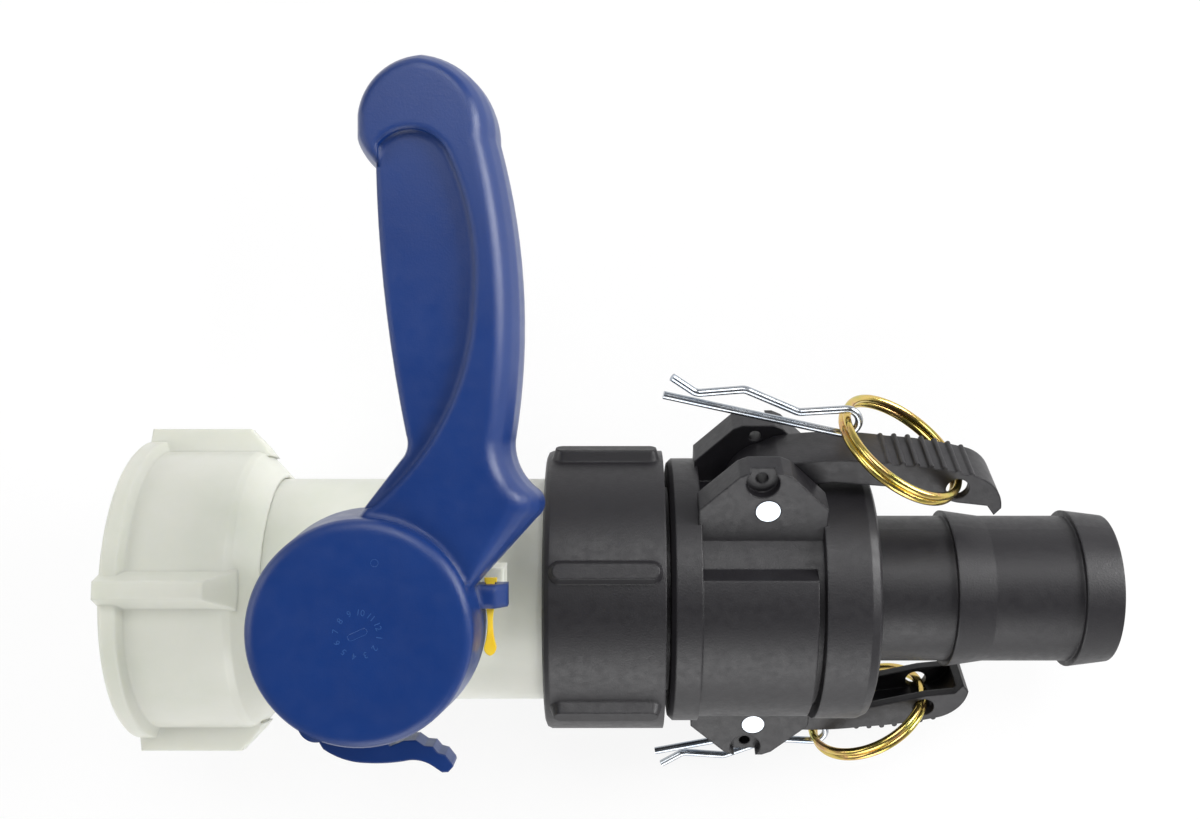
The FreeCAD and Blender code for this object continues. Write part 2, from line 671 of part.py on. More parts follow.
def handle():
    """Moulded lever: hollow spine and grip, round hub over the stem, seal lug and lock boss."""
    body = new_body("handle")
    foot = handle_outline(sketch_on(body, "foot_outline", "XY_Plane", S.handle_z))
    padded(body, "foot", foot, S.skirt)
    side = handle_outline(sketch_on(body, "side_outline", "XY_Plane", S.handle_z + S.skirt))
    rise = S.plateau_z - S.handle_z - S.skirt
    rounds = []
    for number, (share, lean) in enumerate(((0.42, 0.12), (0.73, 0.39), (0.92, 0.7), (1.0, 1.0))):
        level = sketch_on(body, f"round_outline_{number}", "XY_Plane", S.handle_z + S.skirt + rise * share)
        rounds.append(handle_outline(level, float(S.back_bevel) * lean, float(S.front_bevel) * lean))
    flank = body.newObject("PartDesign::AdditiveLoft", "flank")
    flank.Profile = side
    flank.Sections = rounds
    flank.Ruled = True
    body.Tip = flank
    reach = float(S.reach)
    field = path_outline(
        sketch_on(body, "grip_field_outline", "XY_Plane", S.grip_z),
        [
            ((-12.0, reach - 25.8),),
            ((3.2, reach - 25.8),),
            ((3.5, reach - 21.2),),
            ((9.9, reach - 17.8), (18.3, reach - 22.5)),
            ((23.5, reach - 39.0), (24.1, reach - 54.5)),
            ((18.5, 47.0), (2.2, 26.4)),
            ((-12.0, 24.0),),
        ],
    )
    padded(body, "grip_field", field, S.hub_top_z - S.grip_z, reverse=True, kind="Pocket")
    hub = [
        (S.handle_z, 0.0),
        (S.handle_z, S.hub_base_r),
        (S.hub_top_z - S.hub_edge, S.hub_face_r + 0.1),
        (S.hub_top_z - S.hub_edge * 0.3, S.hub_face_r - S.hub_edge * 0.3),
        (S.hub_top_z, S.hub_face_r - S.hub_edge),
        (S.hub_top_z, 0.0),
    ]
    turned(body, "hub", hub, axis="Z_Axis", plane="XZ_Plane")
    wall = float(S.hub_wall)
    hollow = sketch_on(body, "hollow_outline", "XY_Plane", S.handle_z)
    handle_outline(hollow, wall + float(S.back_bevel) * 0.7, wall + float(S.front_bevel))
    padded(body, "hollow", hollow, S.grip_z - S.handle_z - S.hub_wall, reverse=True, kind="Pocket")
    inside = ring_outline(sketch_on(body, "hub_hollow_ring", "XY_Plane", S.handle_z), S.hub_base_r - S.hub_wall)
    padded(body, "hub_hollow", inside, S.hub_top_z - S.handle_z - S.hub_wall, reverse=True, kind="Pocket")
    half_rib = S.rib_wall / 2
    rib_top = S.grip_z - S.handle_z - 1.0
    for number in range(int(float(S.rib_count))):
        middle = S.hub_base_r + 14.0 + (S.reach - S.hub_base_r - 42.0) * number / (S.rib_count - 1)
        front = max(5.0, 10.6 - 0.19 * (float(middle) - 42.0))
        rib = polygon(
            sketch_on(body, f"rib_outline_{number}", "XY_Plane", S.handle_z + 1.0),
            [
                (front, middle - half_rib),
                (26.0, middle - half_rib),
                (26.0, middle + half_rib),
                (front, middle + half_rib),
            ],
        )
        padded(body, f"rib_{number}", rib, rib_top)
    socket = ring_outline(sketch_on(body, "socket_ring", "XY_Plane", S.handle_z + 2.0), S.stem_r + 3.4)
    padded(body, "socket", socket, S.hub_top_z - S.handle_z - 3.0)
    half_flat = S.stem_flat / 2 + S.fit
    square = [(-half_flat, -half_flat), (half_flat, -half_flat), (half_flat, half_flat), (-half_flat, half_flat)]
    hole = polygon(sketch_on(body, "square_outline", "XY_Plane", S.handle_z + 2.0), square)
    padded(body, "square", hole, S.stem_top_z - S.handle_z - 2.0 + S.gap, reverse=True, kind="Pocket")
    boss = ring_outline(
        sketch_on(body, "lock_boss_ring", "XY_Plane", S.handle_z),
        S.lock_eye_r,
        S.lock_pin_x,
        S.lock_pin_y,
    )
    padded(body, "lock_boss", boss, S.hub_top_z - S.handle_z - 1.0)
    pin_hole = ring_outline(
        sketch_on(body, "lock_pin_ring", "XY_Plane", S.handle_z),
        S.lock_pin_r + S.fit,
        S.lock_pin_x,
        S.lock_pin_y,
    )
    padded(body, "lock_pin_hole", pin_hole, 8.0, reverse=True, kind="Pocket")
    lug_root, lug_high = S.hub_base_r - S.hub_wall - 2.0, S.lug_y + S.lug_width / 2
    lug_top = S.handle_z + S.lug_height
    lug = polygon(
        sketch_on(body, "seal_lug_outline", "XZ_Plane", -lug_high),
        [
            (lug_root, S.handle_z),
            (S.lug_out, S.handle_z),
            (S.lug_out, lug_top - 3.4),
            (S.lug_out - 2.7, lug_top),
            (lug_root, lug_top),
        ],
    )
    padded(body, "seal_lug", lug, S.lug_width)
    slot_half = S.tag_width / 2 + S.gap
    slot_low, slot_high = S.tag_z - S.gap, S.tag_z + S.tag_thickness + S.gap
    slot = polygon(
        sketch_on(body, "seal_slot_outline", "XZ_Plane", -lug_high - 1.0),
        [
            (S.tag_x - slot_half, slot_low),
            (S.tag_x + slot_half, slot_low),
            (S.tag_x + slot_half, slot_high),
            (S.tag_x - slot_half, slot_high),
        ],
    )
    padded(body, "seal_slot", slot, S.lug_width + 2.0, reverse=True, kind="Pocket")
    return keep(at(body, S.stem_x), "handle")


def seal_tag():
    """Tamper strap through the handle's seal lug, with a head, a waisted tail and a bulb."""
    body = new_body("seal_tag")
    x, half = float(S.tag_x), float(S.tag_width) / 2
    high = float(S.lug_y + S.lug_width / 2 + S.gap)
    low = float(S.lug_y - S.lug_width / 2)
    tip = low - float(S.tag_tail)
    strap = path_outline(
        sketch_on(body, "strap_outline", "XY_Plane", S.tag_z),
        [
            ((x - half - 0.3, high),),
            ((x - half - 0.3, high + 1.0),),
            ((x + half + 0.5, high + 1.0),),
            ((x + half + 0.5, high),),
            ((x + half, high),),
            ((x + half, low),),
            ((x + half * 0.6, low - 4.4), (x + half * 1.3, tip + 2.4)),
            ((x + half * 0.8, tip + 0.4), (x, tip)),
            ((x - half * 0.8, tip + 0.4), (x - half * 1.3, tip + 2.4)),
            ((x - half * 0.6, low - 4.4), (x - half, low)),
            ((x - half, high),),
        ],
    )
    padded(body, "strap", strap, S.tag_thickness)
    return keep(at(body, S.stem_x), "seal_tag")


# ---------------------------------------------------------------- lock lever


def lock_lever():
    """Curved lever under the hub with an eye, a nose by the teeth and a stepped thumb tab."""
    body = new_body("lock_lever")
    inner, outer, tab = float(S.lock_in_r), float(S.lock_out_r), float(S.lock_tab_r)
    pin = (float(S.lock_pin_x), float(S.lock_pin_y))
    eye = float(S.lock_eye_r)
    bow = path_outline(
        sketch_on(body, "bow_outline", "XY_Plane", S.lock_z),
        [
            (point(-112, outer - 0.9),),
            (point(-103, outer - 0.1), point(-94, outer)),
            (point(-86.5, outer), point(-79, outer + 0.1)),
            (point(-73, outer + 0.9), point(-69.4, outer + 2.8)),
            (point(-67, tab - 0.5),),
            (point(-65.1, tab),),
            (point(-62.8, tab - 0.6),),
            (point(-62.6, tab - 1.3),),
            (point(-63.4, tab - 3.8),),
            (point(-65.5, inner + 4.4),),
            (point(-66.4, inner + 2.6),),
            (point(-69.6, inner + 1.7),),
            (point(-72.2, inner - 0.2),),
            (point(-77.8, inner - 0.8),),
            (point(-84, inner),),
            (point(-86, inner - 1.2),),
            (point(-92, inner - 1.2),),
            (point(-94, inner),),
            (point(-103, inner), point(-112, inner)),
        ],
    )
    padded(body, "bow", bow, S.lock_height)
    eye_z = S.lock_z + S.lock_height - S.lock_eye_height
    neck = path_outline(
        sketch_on(body, "eye_outline", "XY_Plane", eye_z),
        [
            (point(-112, outer - 0.9),),
            (point(-119, inner - 0.6), (pin[0] - eye, pin[1])),
            ((pin[0], pin[1] + eye), (pin[0] + eye, pin[1])),
            (point(-102, inner),),
            (point(-102, outer - 0.9),),
        ],
    )
    padded(body, "eye", neck, S.lock_eye_height)
    hole = ring_outline(
        sketch_on(body, "eye_ring", "XY_Plane", S.lock_z - 1.0), S.lock_pin_r + S.fit, S.lock_pin_x, S.lock_pin_y
    )
    padded(body, "eye_hole", hole, S.lock_height + 2.0, reverse=True, kind="Pocket")
    return keep(at(body, S.stem_x), "lock_lever")


def lock_pin():
    """Headed pin that hangs the lock lever from the handle's boss."""
    shank_low = S.lock_z + S.lock_height - S.lock_eye_height - S.gap
    shank = cylinder("lock_pin_shank", S.lock_pin_r, S.handle_z + 6.0 - shank_low)
    at(shank, S.lock_pin_x, S.lock_pin_y, shank_low)
    head = at(cylinder("lock_pin_head", S.lock_pin_r * 1.9, 1.2), S.lock_pin_x, S.lock_pin_y, shank_low - 1.2)
    return keep(at(fuse("lock_pin", shank, head), S.stem_x), "lock_pin")


def lock_spring():
    """Torsion spring round the lock pin, between the lever's eye and the handle's boss."""
    wire = float(S.spring_wire_r)
    radius = float(S.lock_pin_r) + wire + 0.4
    pitch = wire * 2.3
    foot = float(S.lock_z) + float(S.lock_height) + wire + 0.15
    helix = Part.makeHelix(pitch, pitch * float(S.spring_turns), radius)
    section = Part.Wire(Part.makeCircle(wire, FreeCAD.Vector(radius, 0, 0), FreeCAD.Vector(0, 1, 0)))
    coil = Part.Wire(helix.Edges).makePipeShell([section], True, True)
    spring = solid_feature("lock_spring", coil)
    place = FreeCAD.Vector(float(S.stem_x) + float(S.lock_pin_x), float(S.lock_pin_y), foot)
    spring.Placement = FreeCAD.Placement(place, FreeCAD.Rotation())
    return keep(spring, "lock_spring")


# ---------------------------------------------------------------- outlet adapter


def cam_reach():
    """How far the cam lobe reaches from its pin."""
    return math.hypot(float(S.cam_back), float(S.cam_drop)) + float(S.cam_r)


def ibc_adapter():
    """Coarse-thread union nut with a male coupling end in one moulding."""
    body = new_body("ibc_adapter")
    inner = S.spigot_r + S.gap
    web_x = S.spigot_end_x + S.gasket_thickness
    outline = [
        (S.adapter_x, inner),
        (S.adapter_x, S.adapter_r - S.adapter_edge),
        (S.adapter_x + S.adapter_edge * 0.3, S.adapter_r - S.adapter_edge * 0.3),
        (S.adapter_x + S.adapter_edge, S.adapter_r),
        (S.adapter_end_x, S.adapter_r),
        (S.adapter_end_x, S.male_r),
        (S.male_end_x - 1.5, S.male_r),
        (S.male_end_x, S.male_r - 1.5),
        (S.male_end_x, S.male_bore_r),
        (web_x, S.male_bore_r),
        (web_x, inner),
    ]
    turned(body, "shell", outline)
    start, end = float(S.adapter_x) + 1.2, float(S.adapter_end_x) - 0.4
    half = float(S.adapter_rib_width) / 2
    slot = path_outline(
        sketch_on(body, "rib_outline", "XY_Plane", S.adapter_r - 1.0),
        [
            ((end - half, -half),),
            ((end, 0.0), (end - half, half)),
            ((start + half, half),),
            ((start, 0.0), (start + half, -half)),
        ],
    )
    rib = padded(body, "rib", slot, S.adapter_rib_r - S.adapter_r + 1.0)
    rib.TaperAngle = -20.0
    polar(body, "ribs", rib, 6)
    groove = ring_outline(sketch_on(body, "groove_ring", "XY_Plane"), cam_reach() + float(S.gap), S.pin_x, S.pin_y)
    cutter = body.newObject("PartDesign::Groove", "cam_groove")
    cutter.Profile = groove
    cutter.ReferenceAxis = (origin_part(body, "X_Axis"), [""])
    cutter.Angle = 360.0
    body.Tip = cutter
    return keep(turn(body, (1, 0, 0), -S.adapter_rib_turn), "ibc_adapter")


# ---------------------------------------------------------------- hose coupler


def coupler_body():
    """Socket with four ears, raised panels, rear collar and barbed hose tail in one moulding."""
    body = new_body("coupler_moulding")
    front_end = S.coupler_x + S.front_width
    second = S.barb_x + S.barb_pitch
    outline = [
        (S.coupler_x, 0.0),
        (S.coupler_x, S.front_r - 1.2),
        (S.coupler_x + 1.2, S.front_r),
        (front_end, S.front_r),
        (front_end, S.barrel_r),
        (S.collar_x, S.barrel_r),
        (S.collar_x, S.rear_r),
        (S.rear_end_x - S.rear_edge, S.rear_r),
        (S.rear_end_x - S.rear_edge * 0.3, S.rear_r - S.rear_edge * 0.3),
        (S.rear_end_x, S.rear_r - S.rear_edge),
        (S.rear_end_x, S.tail_r),
        (S.barb_x, S.tail_r),
        (S.barb_x, S.barb_r),
        (S.barb_x + S.barb_length, S.tail_r),
        (second, S.tail_r),
        (second, S.barb_r),
        (S.tail_end_x, S.tail_r + 0.2),
        (S.tail_end_x, 0.0),
    ]
    turned(body, "barrel", outline)
    pad_r, half_angle = float(S.pad_r), float(S.pad_half_angle)
    side, low = pad_r * math.sin(math.radians(half_angle)), float(S.tail_bore_r)
    panel = path_outline(
        sketch_on(body, "panel_outline", "YZ_Plane", front_end - 0.5),
        [
            ((side, low),),
            (point(90 - half_angle, pad_r),),
            (point(90, pad_r), point(90 + half_angle, pad_r)),
            ((-side, low),),
        ],
    )
    pad = padded(body, "panel", panel, S.collar_x - S.pad_groove - front_end + 0.5)
    polar(body, "panels", pad, 2)
    middle = S.pin_x - 1.0
    ear_in = S.arm_width / 2 + S.arm_side_gap
    for name, lift in (("near", ear_in), ("far", -S.ear_out_z)):
        ear = polygon(
            sketch_on(body, name + "_ear_outline", "XY_Plane", lift),
            [
                (middle - S.ear_foot_x / 2, S.socket_r - 7.0),
                (middle + S.ear_foot_x / 2, S.socket_r - 7.0),
                (middle + S.ear_foot_x / 2, S.ear_shoulder),
                (middle + S.ear_flat / 2 + 2.4, S.ear_top - 1.1),
                (middle + S.ear_flat / 2, S.ear_top),
                (middle - S.ear_flat / 2, S.ear_top),
                (middle - S.ear_flat / 2 - 2.4, S.ear_top - 1.1),
                (middle - S.ear_foot_x / 2, S.ear_shoulder),
            ],
        )
        plate = padded(body, name + "_ear", ear, S.ear_out_z - ear_in)
        polar(body, name + "_ears", plate, 2)
    seat_x = S.male_end_x + S.gasket_thickness
    socket = [
        (S.coupler_x - 1.0, 0.0),
        (S.coupler_x - 1.0, S.socket_r),
        (seat_x, S.socket_r),
        (seat_x, S.male_bore_r),
        (seat_x + 4.0, S.male_bore_r),
        (S.rear_end_x, S.tail_bore_r),
        (S.tail_end_x + 1.0, S.tail_bore_r),
        (S.tail_end_x + 1.0, 0.0),
    ]
    turned(body, "socket", socket, kind="Groove")
    wide = cam_reach() + float(S.gap)
    window = box("cam_window", wide * 2, S.ear_top * 2 + 2.0, ear_in * 2)
    tools = [at(window, S.pin_x - wide, -S.ear_top - 1.0, -ear_in)]
    for number, side_y in enumerate((1, -1)):
        depth = S.ear_out_z * 2 + 2.0
        bore = cylinder(f"pin_bore_{number}", S.pin_r + S.fit, depth)
        tools.append(at(bore, S.pin_x, S.pin_y * side_y, -S.ear_out_z - 1.0))
        hole = cylinder(f"clip_hole_{number}", S.clip_hole_r, depth)
        tools.append(at(hole, middle - 0.7, S.clip_hole_y * side_y, -S.ear_out_z - 1.0))
        for name, foot in (("near", S.ear_out_z - S.clip_recess_depth), ("far", -S.ear_out_z - 1.0)):
            deep = S.clip_recess_depth + 1.0
            recess = cylinder(f"{name}_recess_{number}", S.clip_recess_r, deep)
            tools.append(at(recess, middle - 0.7, S.clip_hole_y * side_y, foot))
            mouth = box(f"{name}_mouth_{number}", S.clip_recess_r * 1.4, 4.0, deep)
            mouth_y = S.ear_top - 3.0 if side_y > 0 else -S.ear_top - 1.0
            tools.append(at(mouth, middle - 0.7 - S.clip_recess_r * 0.7, mouth_y, foot))
    return keep(on_coupler(cut("coupler_body", body, *tools)), "coupler_body")


def half_turn(thing):
    """Turn a piece of the upper ear pair to the lower one."""
    flip = FreeCAD.Rotation(FreeCAD.Vector(1, 0, 0), 180)
    thing.Placement = FreeCAD.Placement(FreeCAD.Vector(0, 0, 0), flip).multiply(thing.Placement)
    return thing


def placed(thing, side):
    """Turn a piece made for the +Y ears to its own side, then with the coupler."""
    return on_coupler(thing if side == "upper" else half_turn(thing))


def pivot_pin(side):
    """Pivot pin of a cam arm, flush with both ears."""
    pin = cylinder(f"pivot_pin_{side}", S.pin_r, S.ear_out_z * 2)
    pin.Placement.Base = FreeCAD.Vector(float(S.pin_x), float(S.pin_y), -float(S.ear_out_z))
    return keep(placed(pin, side), f"pivot_pin_{side}")


def cam_arm(side):
    """Cam arm: eccentric lobe, curved channel-section handle, grip ridges and ring hole."""
    body = new_body(f"arm_bar_{side}")
    half = float(S.arm_width) / 2
    px, py, tip = float(S.pin_x), float(S.pin_y), float(S.arm_length)
    back, drop, lobe, hub = float(S.cam_back), float(S.cam_drop), float(S.cam_r), float(S.arm_hub_r)
    lobe_x, lobe_y = px - back, py - drop
    outline = path_outline(
        sketch_on(body, "side_outline", "XY_Plane", -half),
        [
            ((px + 3.2, py + 8.3),),
            ((px + 16.0, py + 9.6), (px + tip - 27.8, py + 8.4)),
            ((px + tip - 17.5, py + 7.2), (px + tip - 8.5, py + 5.2)),
            ((px + tip - 2.6, py + 1.9), (px + tip, py - 4.6)),
            ((px + tip - 1.6, py - 6.7),),
            ((px + tip - 3.6, py - 3.9),),
            ((px + tip - 11.3, py - 2.9),),
            ((px + tip - 28.7, py + 1.9),),
            ((px + 16.7, py + 3.2),),
            ((px + 9.0, py + 2.2),),
            (point(18, lobe, lobe_x, lobe_y),),
            (point(-90, lobe, lobe_x, lobe_y), point(166, lobe, lobe_x, lobe_y)),
            (point(138, hub, px, py), point(95, hub, px, py)),
        ],
    )
    padded(body, "bar", outline, S.arm_width)
    inner = half - float(S.arm_web)
    plate = float(S.arm_plate)
    channel = path_outline(
        sketch_on(body, "channel_outline", "XY_Plane", -inner),
        [
            ((px + 15.0, py + 9.5 - plate),),
            ((px + 23.0, py + 9.2 - plate), (px + tip - 27.8, py + 8.4 - plate)),
            ((px + tip - 17.5, py + 7.2 - plate), (px + tip - 9.5, py + 5.4 - plate)),
            ((px + tip - 4.8, py + 0.4), (px + tip - 3.0, py - 3.6)),
            ((px + tip - 3.0, py - 10.0),),
            ((px + 15.0, py - 1.0),),
        ],
    )
    padded(body, "channel", channel, inner * 2, reverse=True, kind="Pocket")
    bores = (
        ("pin_hole", S.pin_r + S.fit, S.pin_x, S.pin_y),
        ("ring_hole", S.ring_hole_r, S.pin_x + S.ring_hole_x, S.pin_y + S.ring_hole_y),
    )
    for name, radius, x, y in bores:
        ring = ring_outline(sketch_on(body, name + "_ring", "XY_Plane", -half - 1.0), radius, x, y)
        padded(body, name, ring, S.arm_width + 2.0, reverse=True, kind="Pocket")
    arm = [body]
    for number in range(int(float(S.ridge_count))):
        along = tip - 29.5 + float(S.ridge_pitch) * number
        height = 8.5 - 0.0078 * (along - tip + 29.5) ** 2
        ridge = cylinder(f"ridge_{side}_{number}", S.ridge_r, S.arm_width)
        ridge.Placement.Base = FreeCAD.Vector(px + along, py + height, -half)
        arm.append(ridge)
    return keep(placed(fuse(f"cam_arm_{side}", *arm), side), f"cam_arm_{side}")


def ring_frame(side):
    """Origin at a pull ring's centre, X along its slope to the arm's hole and Z along its axis."""
    lean = float(S.pull_ring_tilt) if side == "upper" else -float(S.pull_ring_tilt)
    slope = FreeCAD.Rotation(FreeCAD.Vector(0, 0, 1), float(S.pull_ring_slope))
    rotation = slope.multiply(FreeCAD.Rotation(FreeCAD.Vector(1, 0, 0), 90 + lean))
    hole = FreeCAD.Vector(float(S.pin_x + S.ring_hole_x), float(S.pin_y + S.ring_hole_y), 0)
    back = slope.multVec(FreeCAD.Vector(float(S.pull_ring_r - S.pull_wire_r), 0, 0))
    return FreeCAD.Placement(hole - back, rotation)


def pull_ring(side):
    """Split ring of two turns through the end of a cam arm."""
    body = new_body(f"ring_turns_{side}")
    radius, wire = float(S.pull_ring_r), float(S.pull_wire_r)
    centre = wire * 0.94
    waist = math.sqrt(wire**2 - centre**2)
    section = path_outline(
        sketch_on(body, "turns_section", "XZ_Plane"),
        [
            ((radius, centre + wire), (radius - waist, 0.0)),
            ((radius, -centre - wire), (radius + waist, 0.0)),
        ],
    )
    turns = body.newObject("PartDesign::Revolution", "turns")
    turns.Profile = section
    turns.ReferenceAxis = (origin_part(body, "Z_Axis"), [""])
    turns.Angle = 360.0
    body.Tip = turns
    body.Placement = ring_frame(side)
    return keep(placed(body, side), f"pull_ring_{side}")


def rounded_path(spots, radius):
    """A wire through the spots whose corners are rounded, by straight runs and tangent arcs."""
    edges, start = [], FreeCAD.Vector(*spots[0], 0)
    for before, corner, after in zip(spots, spots[1:], spots[2:]):
        middle = FreeCAD.Vector(*corner, 0)
        back = (FreeCAD.Vector(*before, 0) - middle).normalize()
        ahead = (FreeCAD.Vector(*after, 0) - middle).normalize()
        half = back.getAngle(ahead) / 2
        trim = radius / math.tan(half)
        first, last = middle + back * trim, middle + ahead * trim
        inward = (back + ahead).normalize()
        crown = middle + inward * (radius / math.sin(half) - radius)
        edges.append(Part.LineSegment(start, first).toShape())
        edges.append(Part.Arc(first, crown, last).toShape())
        start = last
    edges.append(Part.LineSegment(start, FreeCAD.Vector(*spots[-1], 0)).toShape())
    return edges


def safety_clip(side):
    """Bent wire clip: straight leg, round eye on the pull ring and a waved leg with a flared end."""
    free_end = ring_frame(side).multVec(FreeCAD.Vector(-float(S.pull_ring_r), 0, 0))
    eye = (free_end.x, free_end.y)
    wire_r, loop_r, slope = float(S.clip_wire_r), float(S.clip_loop_r), float(S.clip_slope)
    leg_start = point(slope + 90, loop_r, *eye)
    leg_end = point(slope, float(S.clip_leg), *leg_start)
    back_start = point(94, loop_r, *eye)
    waves = [
        back_start,
        point(184, 11.4, *back_start),
        (eye[0] - 25.2, eye[1] + 9.2),
        (eye[0] - 37.0, eye[1] + 8.1),
        (eye[0] - 43.0, eye[1] + 12.6),
    ]
    edges = [
        Part.LineSegment(FreeCAD.Vector(*leg_end, 0), FreeCAD.Vector(*leg_start, 0)).toShape(),
        Part.Arc(
            FreeCAD.Vector(*leg_start, 0),
            FreeCAD.Vector(*point(0, loop_r, *eye), 0),
            FreeCAD.Vector(*back_start, 0),
        ).toShape(),
    ]
    edges += rounded_path(waves, 3.0)
    path = Part.Wire(edges)
    along = FreeCAD.Vector(*leg_start, 0) - FreeCAD.Vector(*leg_end, 0)
    section = Part.Wire(Part.makeCircle(wire_r, FreeCAD.Vector(*leg_end, 0), along))
    clip = solid_feature(f"safety_clip_{side}", path.makePipeShell([section], True, False))
    return keep(placed(clip, side), f"safety_clip_{side}")


# ---------------------------------------------------------------- assembly and export


def build():
    inlet_nut()
    flat_gasket("inlet_gasket", S.inlet_seat_x - S.gasket_thickness, S.bore_r, S.collar_r)
    valve_body()
    stem()
    stem_o_rings()
    stem_bush()
    valve_disc()
    disc_seal()
    handle()
    seal_tag()
    lock_lever()
    lock_pin()
    lock_spring()
    ibc_adapter()
    flat_gasket("outlet_gasket", S.spigot_end_x, S.bore_r, S.spigot_r - 0.5)
    coupler_body()
    coupler_gasket = flat_gasket("coupler_gasket", S.male_end_x, S.male_bore_r, S.male_r)
    on_coupler(coupler_gasket)
    for side in ("upper", "lower"):
        pivot_pin(side)
        cam_arm(side)
        pull_ring(side)
        safety_clip(side)
    doc.recompute()


def check():
    """Stop if an object failed or a sub-part is not a sound solid."""
    for thing in doc.Objects:
        if "Invalid" in thing.State or "Error" in thing.State:
            raise SystemExit(f"{thing.Name} failed: {thing.State}")
    for piece in pieces:
        if piece.Shape.isNull() or not piece.Shape.isValid() or not piece.Shape.Solids:
            raise SystemExit(f"{piece.Label} is not a valid solid")


def export():
    os.makedirs("parts", exist_ok=True)
    for piece in pieces:
        piece.Shape.exportStep(os.path.join("parts", piece.Label + ".step"))
        print(piece.Label, len(piece.Shape.Solids), "solids", round(piece.Shape.Volume), "mm3")


build()
check()
export()
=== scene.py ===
import json
import math

import bmesh
import bpy
from mathutils import Matrix, Vector


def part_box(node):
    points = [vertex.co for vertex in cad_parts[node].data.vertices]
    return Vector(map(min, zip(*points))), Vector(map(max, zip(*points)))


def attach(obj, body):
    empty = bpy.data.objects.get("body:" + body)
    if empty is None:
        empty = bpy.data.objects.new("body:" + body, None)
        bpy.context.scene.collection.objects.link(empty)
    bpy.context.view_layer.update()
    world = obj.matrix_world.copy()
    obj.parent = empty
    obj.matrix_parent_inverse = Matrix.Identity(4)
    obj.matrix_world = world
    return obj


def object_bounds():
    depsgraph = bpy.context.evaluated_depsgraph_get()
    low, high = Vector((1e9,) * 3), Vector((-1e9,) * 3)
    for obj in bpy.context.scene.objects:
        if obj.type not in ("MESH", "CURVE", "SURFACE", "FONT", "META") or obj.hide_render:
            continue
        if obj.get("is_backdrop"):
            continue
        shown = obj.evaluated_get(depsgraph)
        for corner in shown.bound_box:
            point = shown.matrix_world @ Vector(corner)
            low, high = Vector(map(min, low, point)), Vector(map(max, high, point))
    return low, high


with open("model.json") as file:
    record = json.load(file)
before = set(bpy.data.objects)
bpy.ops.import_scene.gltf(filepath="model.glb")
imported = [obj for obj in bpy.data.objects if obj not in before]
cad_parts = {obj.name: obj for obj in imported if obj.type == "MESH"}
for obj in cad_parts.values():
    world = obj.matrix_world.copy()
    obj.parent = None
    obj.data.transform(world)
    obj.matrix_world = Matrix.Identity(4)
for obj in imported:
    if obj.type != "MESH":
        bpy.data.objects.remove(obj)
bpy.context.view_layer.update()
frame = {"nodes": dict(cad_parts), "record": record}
nodes = frame["nodes"]

# Hub dial, in metres and degrees
DIAL_RADIUS = 0.0046
DIAL_FIRST = -8
DIAL_STEP = 30
DIGIT_SIZE = 0.0019
DIGIT_DEPTH = 0.00002
SLOT_REACH = 0.0015
SLOT_ROUND = 0.0007
SLOT_TURN = 24
GATE_PLACE = (0.0036, 0.0151)
GATE_RADIUS = 0.0008
LINE_RADIUS = 0.00007
LINE_SINK = 0.00004

# Floor, in metres, and the share of the background's white that it shows
FLOOR_HALF = 3
FLOOR_GAP = 0.0005
FLOOR_GLOW = 0.85


# ---------------------------------------------------------------- shader helpers


def new_material(name):
    """A material with its Principled shader and node tree."""
    material = bpy.data.materials.new(name)
    material.use_nodes = True
    tree = material.node_tree
    return material, tree, tree.nodes["Principled BSDF"]


def add(tree, kind, **values):
    """A node with its properties and the defaults of its inputs set."""
    node = tree.nodes.new(kind)
    for key, value in values.items():
        if hasattr(node, key):
            setattr(node, key, value)
        else:
            node.inputs[key.replace("_", " ")].default_value = value
    return node


def noise(tree, scale, detail=3.0, roughness=0.55, stretch=(1, 1, 1)):
    """A noise texture on the piece's own coordinates, which move with it."""
    place = add(tree, "ShaderNodeTexCoord")
    size = add(tree, "ShaderNodeMapping")
    size.inputs["Scale"].default_value = stretch
    texture = add(tree, "ShaderNodeTexNoise")
    texture.inputs["Scale"].default_value = scale
    texture.inputs["Detail"].default_value = detail
    texture.inputs["Roughness"].default_value = roughness
    tree.links.new(place.outputs["Object"], size.inputs["Vector"])
    tree.links.new(size.outputs["Vector"], texture.inputs["Vector"])
    return texture.outputs["Fac"]


def ramp(tree, source, stops):
    """A colour ramp of (position, colour) stops driven by a value."""
    node = add(tree, "ShaderNodeValToRGB")
    node.color_ramp.elements[0].position = stops[0][0]
    node.color_ramp.elements[0].color = (*stops[0][1], 1)
    node.color_ramp.elements[1].position = stops[-1][0]
    node.color_ramp.elements[1].color = (*stops[-1][1], 1)
    for position, colour in stops[1:-1]:
        node.color_ramp.elements.new(position).color = (*colour, 1)
    tree.links.new(source, node.inputs["Fac"])
    return node.outputs["Color"]


def spread(tree, source, low, high):
    """A value mapped from 0.3-0.7 to a range."""
    node = add(tree, "ShaderNodeMapRange")
    node.inputs["From Min"].default_value = 0.3
    node.inputs["From Max"].default_value = 0.7
    node.inputs["To Min"].default_value = low
    node.inputs["To Max"].default_value = high
    tree.links.new(source, node.inputs["Value"])
    return node.outputs["Result"]


def grain(tree, shader, layers, edge=0.0):
    """Bumps of (noise, strength, height in metres) on softened edges."""
    normal = None
    if edge:
        soft = add(tree, "ShaderNodeBevel", samples=6)
        soft.inputs["Radius"].default_value = edge
        normal = soft.outputs["Normal"]
    for source, strength, height in layers:
        bump = add(tree, "ShaderNodeBump")
        bump.inputs["Strength"].default_value = strength
        bump.inputs["Distance"].default_value = height
        tree.links.new(source, bump.inputs["Height"])
        if normal:
            tree.links.new(normal, bump.inputs["Normal"])
        normal = bump.outputs["Normal"]
    tree.links.new(normal, shader.inputs["Normal"])


